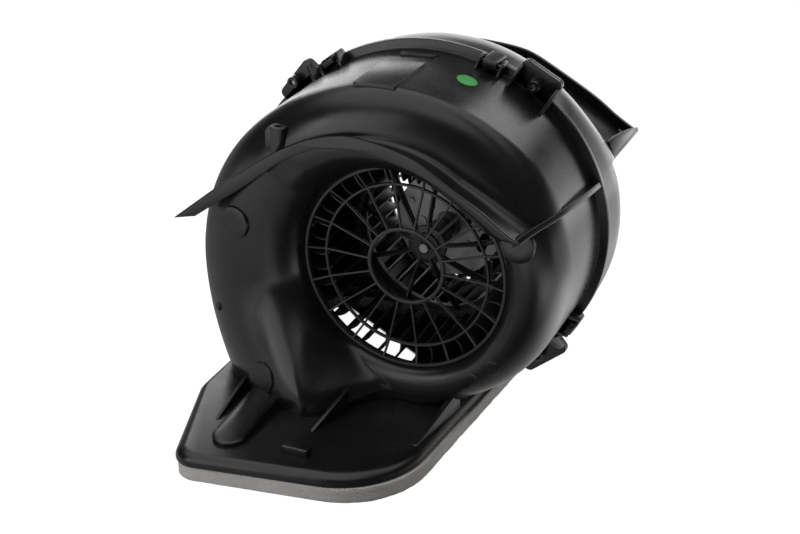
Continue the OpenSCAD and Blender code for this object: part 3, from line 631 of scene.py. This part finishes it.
# round ejector pads and small moulding marks, flat to the skin
for x, z, r, up in ((-107, 20, 10.5, 1.2), (-82, -77, 10.5, 1.2), (76.5, 33, 10.5, 1.2)):
    p, n = on_front(x, z)
    front.add(solid_lathe([(r + 0.5, -4), (r + 0.3, up * 0.1 - 0.3), (r + 0.1, up - 0.35), (r - 0.1, up - 0.1), (r - 0.45, up), (r * 0.5, up), (0.05, up)], p, n, 64))
for x, z in ((49, -65), (62, -53)):
    # these lie in the curve of the skin
    p, n = on_front(x, z)
    u = n.orthogonal().normalized()
    v = n.cross(u)
    rings = []
    for r, up in ((5.4, -2.0), (5.4, -0.15), (5.2, 0.12), (4.8, 0.22), (3.2, 0.22), (1.6, 0.22), (0.1, 0.22)):
        ring = []
        for k in range(48):
            q = p + (u * math.cos(math.pi * k / 24) + v * math.sin(math.pi * k / 24)) * r
            h = tree.ray_cast(q + n * 6, -n)
            ring.append((h[0] if h[0] else q) + n * up)
        rings.append(ring)
    front.add(loft(rings))
p, n = on_front(-125, -46)
front.add(solid_lathe([(2.6, -3), (2.6, 0.6), (2.2, 1.3), (1.2, 1.7), (0.05, 1.8)], p, n, 32))

# upright screw boss with its rib
front.add(lathe([(2.0, 10.5), (2.0, 26.1), (2.4, 26.5), (4.9, 26.5), (5.4, 26.0), (5.4, 7), (2.0, 7)], (-75, -21.5, 62), (0, 0, 1), 56))
front.add(solid_lathe([(2.3, 9), (2.3, 10.5), (0.05, 10.5)], (-75, -21.5, 62), (0, 0, 1), 40))
front.add(prism([Vector((-84.0, -22.3, 66)), Vector((-79.0, -22.3, 66)), Vector((-79.0, -22.3, 87.2)), Vector((-81.5, -22.3, 87.2)),
                 Vector((-84.0, -22.3, 84.0))], (0, 1.6, 0)), bevel=0.3)


# base plate with a rounded rim and the outlet through it
def base_outline(d, n=14, g=0.0):
    """Outline pulled in by d; g moves its right side."""
    return rounded([(-129 + d, -41, 24), (-102 + d, -123 + d, 16 - d), (37 - d + g, -103 + d - 0.5 * g, 57 - d), (52 - d + g, 150 - d, 26 - d),
                    (-129 + d, 150 - d, 26 - d)], n)


def outlet_outline(d, n=10):
    x0, x1, y0, y1 = -117 - d, -14 + d, 16 - d, 128 + d
    return rounded([(x0, y0, 8), (x1, y0, 8), (x1, y1, 8), (x0, y1, 34)], n)


def slab(levels, hole):
    """Slab from outlines at several heights, with one straight hole through it."""
    bm = bmesh.new()
    rings = [[bm.verts.new((x, y, z)) for x, y in o] for o, z in levels]
    n = len(rings[0])
    for p, q in zip(rings, rings[1:]):
        for j in range(n):
            bm.faces.new((p[j], p[(j + 1) % n], q[(j + 1) % n], q[j]))
    za, zb = levels[0][1], levels[-1][1]
    ha = [bm.verts.new((x, y, za)) for x, y in hole]
    hb = [bm.verts.new((x, y, zb)) for x, y in hole]
    k = len(hole)
    for j in range(k):
        bm.faces.new((ha[j], ha[(j + 1) % k], hb[(j + 1) % k], hb[j]))
    for ring, h in ((rings[0], ha), (rings[-1], hb)):
        edges = [bm.edges.get((ring[j], ring[(j + 1) % n])) for j in range(n)] + [bm.edges.get((h[j], h[(j + 1) % k])) for j in range(k)]
        bmesh.ops.triangle_fill(bm, edges=edges, use_beauty=True, use_dissolve=False)
    return bm


rim = [(7 * (1 - math.sin(0.5 * math.pi * k / 9)), TOP - 6.6 * (1 - math.cos(0.5 * math.pi * k / 9))) for k in range(10)]
front.add(slab([(base_outline(d, 14, -3.2), z) for d, z in rim + [(0, BOT + 0.5), (0.4, BOT)]], outlet_outline(0)))

# tongue with a round nose, crowned, sloping down to the plate
rings = []
for yy in [-103 + 10.8 * (1 - math.cos(0.5 * math.pi * k / 14)) for k in range(15)] + [-84, -74, -64, -54, -44]:
    hw_ = max(0.35, math.sqrt(max(0.0, 10.8 ** 2 - min(0.0, yy + 92.2) ** 2)))
    top_ = 3.0 + 6.0 * (yy + 103) / 57
    low_ = 0.62 * top_
    ring = [Vector((-78.2 + hw_, yy, TOP - 1))]
    for q in range(0, 181, 10):
        c_, s_ = math.cos(rad(q)), math.sin(rad(q))
        ring.append(Vector((-78.2 + hw_ * (abs(c_) ** 0.8) * (1 if c_ >= 0 else -1), yy, TOP + low_ + (top_ - low_) * s_ * min(1.0, hw_ / 6))))
    ring.append(Vector((-78.2 - hw_, yy, TOP - 1)))
    rings.append(ring)
front.add(loft(rings))
front.add(prism([Vector((-42, -94, TOP - 1)), Vector((-24.5, -94, TOP - 1)), Vector((-24.5, -86.5, TOP - 1)), Vector((-42, -86.5, TOP - 1))],
                (0, 0, 6)), bevel=1.1, seg=4)


def gusset(x0, y0, x1, y1, h, t):
    d = Vector((x1 - x0, y1 - y0, 0))
    s = Vector((-d.y, d.x, 0)).normalized() * t / 2
    a, b = Vector((x0, y0, TOP - 1)), Vector((x1, y1, TOP - 1))
    up = Vector((0, 0, 1))
    front.add(prism([a - s, b - s, b - s + up * (h + 1), a - s + up * 1.6], 2 * s), bevel=0.5, seg=3)


gusset(-96.3, -76.4, -97.8, -32, 10, 2.4)
gusset(-35.4, -66, -26.5, -32, 15.5, 2.8)
gusset(29.5, -55, 36, 0, 13, 3.4)

front_obj = front.obj("front_casing_moulding", "casing_plastic")
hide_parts("front_casing")

# ---------------------------------------------------------------- rear casing
rear = Part()
rear.add(half_shell(1, TOP + 0.05))
lip_parts(rear, 10, True)
flange(rear, -62, True)

shelf(rear, [(144 - y, 24.6, a, b) for y, a, b in ((-29.8, 87.5, 104.6), (0, 86.5, 104.5), (13, 85.5, 104.4), (24, 90, 104.3),
                                                    (38, 96, 104.2), (52, 101, 104.2))])
f = spin(24.6)
rear.add(prism([f(104.5, 173.6, 1.8), f(104.4, 158, 6.0), f(104.3, 131, 11.0), f(104.3, 120, 11.0), f(104.3, 120, -0.8), f(104.5, 173.6, -0.8)], f(-2.4, 0, 0)), bevel=0.3)
for th in CLIPS:
    w = rw(th)
    q = [(w - 1, 78), (w + 7.2, 78), (w + 8.6, 76.6), (w + 8.6, 60.4), (w + 7.2, 59), (w + 3.4, 59), (w + 3.4, 62.4), (w + 6.4, 62.4),
         (w + 6.4, 72.8), (w - 1, 72.8)]
    rear.add(plate_ry(th, q, -4.6, 4.6), bevel=0.6, seg=3)
for k in range(4):
    f = spin(45 + 90 * k)
    o = [(59, -5.5), (68.6, -5.5), (68.6, 5.5), (59, 5.5)]
    rear.add(prism([f(r, 121.8, t) for r, t in o], (0, 3.2, 0)), bevel=0.4)
rear_obj = rear.obj("rear_casing_moulding", "casing_plastic")
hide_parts("rear_casing")

# ---------------------------------------------------------------- inlet grille
guard = Part()


def bar_ring(r0, r1, y0, y1, c=0.5):
    prof = [(r0 + c, y0), (r1 - c, y0), (r1 - 0.3 * c, y0 + 0.3 * c), (r1, y0 + c), (r1, y1 - c), (r1 - 0.3 * c, y1 - 0.3 * c), (r1 - c, y1),
            (r0 + c, y1), (r0 + 0.3 * c, y1 - 0.3 * c), (r0, y1 - c), (r0, y0 + c), (r0 + 0.3 * c, y0 + 0.3 * c)]
    guard.add(lathe(prof, (0, 0, 0), (0, 1, 0), 180))


bar_ring(65.8, 67.95, -5.6, -2.8)
bar_ring(53.8, 55.4, -1.8, 0.6)
bar_ring(23.5, 26.0, -1.8, 0.6)
for k in range(18):
    th = -2 + 20 * k
    f = spin(th)
    path = smooth([(25.4, -0.6, 0), (40, -0.6, 0), (51, -0.65, 0), (55.5, -1.0, 0), (61, -2.6, 0), (66.8, -4.3, 0)], 4)
    rings = []
    for p in path:
        hw, hh, c = 0.68, 1.0, 0.35
        sec = [(-hw + c, -hh), (hw - c, -hh), (hw - 0.3 * c, -hh + 0.3 * c), (hw, -hh + c), (hw, hh - c), (hw - 0.3 * c, hh - 0.3 * c),
               (hw - c, hh), (-hw + c, hh), (-hw + 0.3 * c, hh - 0.3 * c), (-hw, hh - c), (-hw, -hh + c), (-hw + 0.3 * c, -hh + 0.3 * c)]
        rings.append([f(p.x, p.y + b, a) for a, b in sec])
    guard.add(loft(rings))
guard_obj = guard.obj("inlet_guard_moulding", "guard_plastic")
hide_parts("inlet_guard")

# ---------------------------------------------------------------- foam seal
foam = Part()
n_r = 26
levels = []
for k, (z, inset) in enumerate(((BOT, 0.4), (BOT - 0.8, 0.0), (BOT - 2.5, 0.0), (BOT - 4.2, 0.05), (BOT - 5.8, 0.0), (BOT - 7.5, 0.1),
                                (BOT - 9.2, 0.0), (BOT - 10, 0.5))):
    o = base_outline(1 + inset, n_r)
    # split long straight runs so that the cut edge can wander
    fine = []
    for a, b in zip(o, o[1:] + o[:1]):
        m = max(1, int(math.hypot(b[0] - a[0], b[1] - a[1]) / 2.5))
        fine += [(a[0] + (b[0] - a[0]) * j / m, a[1] + (b[1] - a[1]) * j / m) for j in range(m)]
    levels.append((fine, z))
n_pts = min(len(o) for o, z in levels)
ref = levels[1][0]
wander = []
for o, z in levels:
    # the same number of points on each level: taken from one outline, pulled in by the level's inset
    inset = {BOT: 0.4, BOT - 10: 0.5}.get(z, 0.0)
    cx, cy = -38.0, 18.0
    ring = []
    for x, y in ref:
        d = math.hypot(x - cx, y - cy)
        n1 = noise.noise(Vector((x * 0.35, y * 0.35, z * 0.5)))
        n2 = noise.noise(Vector((x * 0.09, y * 0.09, z * 0.12 + 7)))
        amp = 0.35 + 0.25 * ss(-20, 40, x)
        k = 1 - (inset + 0.15 + amp * (0.6 * n1 + 0.7 * n2)) / d
        ring.append((cx + (x - cx) * k, cy + (y - cy) * k))
    wander.append((ring, z))
foam.add(slab(wander, outlet_outline(2)))
foam_obj = foam.obj("base_foam_seal", "seal_foam", sharp=50)
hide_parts("base_gasket")

# ---------------------------------------------------------------- blank label on the rear wall
lab = Part()
rings = []
for k in range(37):
    th = 80.5 + 18.0 * k / 36
    f = spin(th)
    edge = min(k, 36 - k)
    c = {0: 0.9, 1: 0.35, 2: 0.08}.get(edge, 0.0)
    y0, y1 = SPLIT + 3.6 + c, SPLIT + 12 - c
    r0, r1 = rwb(th) + 0.02, rwb(th) + 0.3
    rings.append([f(r0, y0), f(r1 - 0.06, y0), f(r1, y0 + 0.12), f(r1, 0.5 * (y0 + y1)), f(r1, y1 - 0.12), f(r1 - 0.06, y1), f(r0, y1)])
lab.add(loft(rings))
lab_obj = lab.obj("blank_label_film", "label_paper", sharp=60)
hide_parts("rating_label")

# ---------------------------------------------------------------- green dot
dot = Part()
f = spin(78.4)
c, s = math.cos(rad(5.5)), math.sin(rad(5.5))
n_dot = f(c, 0, -s)
dot.add(solid_lathe([(6.5, -0.5), (6.55, 0.12), (6.3, 0.26), (5.6, 0.32), (3.0, 0.34), (0.05, 0.35)], f(rw(78.4), 38.5, 0), n_dot, 64))
dot_obj = dot.obj("green_dot", "green_ink", sharp=50)
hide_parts("inspection_dot")

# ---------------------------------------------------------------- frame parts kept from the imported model
slots = {s["node"]: s["material_slot"] for s in frame["record"]["subparts"]}
bev = {"impeller": 0.00025, "motor_carrier": 0.0004, "regulator_case": 0.0006, "power_socket": 0.0004, "motor_can": 0.0005,
       "motor_front_plate": 0.0003, "motor_rear_cap": 0.0004, "casing_screws": 0.0003, "carrier_screws": 0.0003, "regulator_screws": 0.0003,
       "motor_screws": 0.0002, "motor_shaft": 0.0003, "regulator_heatsink": 0.0002, "impeller_clip": 0.0001, "damper_rings": 0.0006}
for name, ob in nodes.items():
    if name in ("front_casing", "rear_casing", "inlet_guard", "base_gasket", "rating_label", "inspection_dot", "motor_leads"):
        continue
    ob.data.materials.clear()
    ob.data.materials.append(MATS[slots[name]])
    wd = ob.modifiers.new("weld", 'WELD')
    wd.merge_threshold = 0.00001
    if name in bev:
        bv = ob.modifiers.new("bevel", 'BEVEL')
        bv.width = bev[name]
        bv.segments = 2
        bv.limit_method = 'ANGLE'
        bv.angle_limit = rad(35)
        bv.harden_normals = False
        bv.use_clamp_overlap = True

# ---------------------------------------------------------------- floor, light
fm = bpy.data.meshes.new("floor")
bm = bmesh.new()
bmesh.ops.create_grid(bm, x_segments=8, y_segments=8, size=6.0)
bm.to_mesh(fm)
bm.free()
floor = bpy.data.objects.new("floor", fm)
floor.location = (0, 0, -0.0004)
scene.collection.objects.link(floor)
m = bpy.data.materials.new("floor_white")
m.use_nodes = True
nt = m.node_tree
nt.nodes.clear()


def mrange(sock, a, b, c, d):
    n = nt.nodes.new("ShaderNodeMapRange")
    n.interpolation_type = 'SMOOTHSTEP'
    n.inputs["From Min"].default_value = a
    n.inputs["From Max"].default_value = b
    n.inputs["To Min"].default_value = c
    n.inputs["To Max"].default_value = d
    nt.links.new(sock, n.inputs["Value"])
    return n.outputs[0]


def math2(op, a, b):
    n = nt.nodes.new("ShaderNodeMath")
    n.operation = op
    for i, v in enumerate((a, b)):
        if isinstance(v, (int, float)):
            n.inputs[i].default_value = v
        else:
            nt.links.new(v, n.inputs[i])
    return n.outputs[0]


# the paper sweep is white to look at; what it throws back at the part is shaped, as between flags
out = nt.nodes.new("ShaderNodeOutputMaterial")
pb = nt.nodes.new("ShaderNodeBsdfPrincipled")
pb.inputs["Base Color"].default_value = (0.12, 0.12, 0.12, 1)
pb.inputs["Roughness"].default_value = 0.9
pb.inputs["IOR"].default_value = 1.1
pb.inputs["Emission Color"].default_value = (1, 1, 1, 1)
pb.inputs["Emission Strength"].default_value = 0.99
em = nt.nodes.new("ShaderNodeEmission")
tc = nt.nodes.new("ShaderNodeTexCoord")
sep = nt.nodes.new("ShaderNodeSeparateXYZ")
nt.links.new(tc.outputs["Object"], sep.inputs[0])
fx, fy = sep.outputs["X"], sep.outputs["Y"]


def spot(cx, cy, r0, r1, a, b):
    """Round patch on the floor: value a inside r0, b outside r1."""
    dx, dy = math2('SUBTRACT', fx, cx), math2('SUBTRACT', fy, cy)
    return mrange(math2('SQRT', math2('ADD', math2('MULTIPLY', dx, dx), math2('MULTIPLY', dy, dy)), 0.0), r0, r1, a, b)


fore = mrange(fy, -0.12, 0.1, 1.0, 0.0)
left = mrange(fx, -0.14, 0.05, 1.0, 0.0)
far = mrange(math2('MULTIPLY', math2('ADD', fx, fy), 0.7), 0.15, 0.33, 0.55, 1.2)
rear = math2('ADD', math2('MULTIPLY', left, 0.26), math2('MULTIPLY', math2('SUBTRACT', 1.0, left), far))
front_amt = math2('MULTIPLY', mrange(fy, -0.42, -0.24, 1.05, 0.5), mrange(fx, 0.5, 0.7, 1.0, 0.1))
front_amt = math2('MULTIPLY', front_amt, spot(0.15, -0.21, 0.09, 0.2, 0.08, 1.0))
away = mrange(fy, -0.95, -0.6, 1.0, 0.0)
front_amt = math2('ADD', math2('MULTIPLY', math2('SUBTRACT', 1.0, away), front_amt), math2('MULTIPLY', away, mrange(fx, -0.12, 0.02, 1.2, 0.08)))
light = math2('ADD', math2('MULTIPLY', fore, front_amt), math2('MULTIPLY', math2('SUBTRACT', 1.0, fore), rear))
light = math2('ADD', light, spot(0.25, 0.08, 0.03, 0.16, 1.9, 0.0))
light = math2('ADD', light, spot(0.38, -0.14, 0.06, 0.2, 1.7, 0.0))
light = math2('ADD', light, spot(0.03, -0.4, 0.04, 0.15, 0.9, 0.0))
# a little light comes up through the near part of the outlet, and its far corner is painted dark, a painted shadow on
# the floor
inside = math2('MULTIPLY', math2('MULTIPLY', mrange(fx, -0.102, -0.098, 0.0, 1.0), mrange(fx, 0.012, 0.016, 1.0, 0.0)),
               math2('MULTIPLY', mrange(fy, -0.016, -0.012, 0.0, 1.0), mrange(fy, 0.106, 0.11, 1.0, 0.0)))
near = math2('MULTIPLY', inside, mrange(math2('ADD', fy, math2('MULTIPLY', fx, 0.63)), -0.02, 0.02, 0.9, 0.0))
nt.links.new(math2('ADD', math2('MULTIPLY', light, math2('SUBTRACT', 1.0, inside)), near), em.inputs["Strength"])
# painted shadow: the floor's colour as the camera sees it goes dark over the outlet's far corner
painted_floor_shadow = math2('MULTIPLY', inside, mrange(math2('ADD', fy, math2('MULTIPLY', fx, 0.63)), 0.048, 0.051, 0.0, 1.0))
nt.links.new(math2('MULTIPLY', math2('SUBTRACT', 1.0, painted_floor_shadow), 0.99), pb.inputs["Emission Strength"])
lp = nt.nodes.new("ShaderNodeLightPath")
mix = nt.nodes.new("ShaderNodeMixShader")
nt.links.new(lp.outputs["Is Camera Ray"], mix.inputs[0])
nt.links.new(em.outputs[0], mix.inputs[1])
nt.links.new(pb.outputs[0], mix.inputs[2])
nt.links.new(mix.outputs[0], out.inputs[0])
fm.materials.append(m)

world = bpy.data.worlds.new("studio")
scene.world = world
world.use_nodes = True
nt = world.node_tree
nt.nodes.clear()
out = nt.nodes.new("ShaderNodeOutputWorld")
bg = nt.nodes.new("ShaderNodeBackground")
nt.links.new(bg.outputs[0], out.inputs[0])
tc = nt.nodes.new("ShaderNodeTexCoord")
sep = nt.nodes.new("ShaderNodeSeparateXYZ")
nt.links.new(tc.outputs["Generated"], sep.inputs[0])
top = mrange(sep.outputs["Z"], 0.56, 0.8, 0.0, 1.4)
# less of it comes from the front right
cut = math2('MULTIPLY', mrange(math2('ADD', sep.outputs["X"], sep.outputs["Y"]), 0.05, 0.4, 0.0, 0.8), mrange(sep.outputs["Y"], -0.1, 0.1, 1.0, 0.0))
top = math2('MULTIPLY', top, math2('SUBTRACT', 1.0, cut))
high_back = math2('MULTIPLY', mrange(sep.outputs["Y"], 0.3, 0.6, 0.0, 1.0), mrange(sep.outputs["Z"], 0.4, 0.55, 0.15, 0.0))
high_back = math2('MULTIPLY', high_back, mrange(sep.outputs["X"], -0.3, -0.2, 1.0, 0.2))
env = math2('ADD', math2('ADD', top, high_back), 0.04)
lp = nt.nodes.new("ShaderNodeLightPath")
nt.links.new(math2('MAXIMUM', env, lp.outputs["Is Camera Ray"]), bg.inputs["Strength"])
bg.inputs["Color"].default_value = (1, 1, 1, 1)


def softbox(name, at, aim, size_x, size_y, radiance):
    """Rectangular soft light, sizes in millimetres, that gives the stated radiance."""
    li = bpy.data.lights.new(name, 'AREA')
    li.shape = 'RECTANGLE'
    li.size, li.size_y = size_x / 1000, size_y / 1000
    li.energy = radiance * math.pi * li.size * li.size_y
    ob = bpy.data.objects.new(name, li)
    scene.collection.objects.link(ob)
    ob.location = M(at)
    ob.rotation_euler = (M(aim) - M(at)).to_track_quat('-Z', 'Y').to_euler()
    ob.visible_camera = False
    return ob


softbox("back_panel", (-290, 650, 90), (-290, 0, 90), 840, 400, 1.75)
softbox("back_panel_right", (430, 650, 40), (430, 0, 40), 520, 300, 1.0)
softbox("back_left_high", (-660, 650, 410), (-100, -60, -60), 280, 260, 2.6)
softbox("right_back", (217, 543, 389), (0, 60, 30), 300, 250, 2.4)
softbox("window", (-385, -968, 340), (0, 0, 30), 560, 680, 1.8)
softbox("window_left", (-670, -850, 270), (0, 0, 30), 200, 420, 2.5)
softbox("left_front", (-690, -700, -20), (0, 0, 0), 300, 240, 0.5)
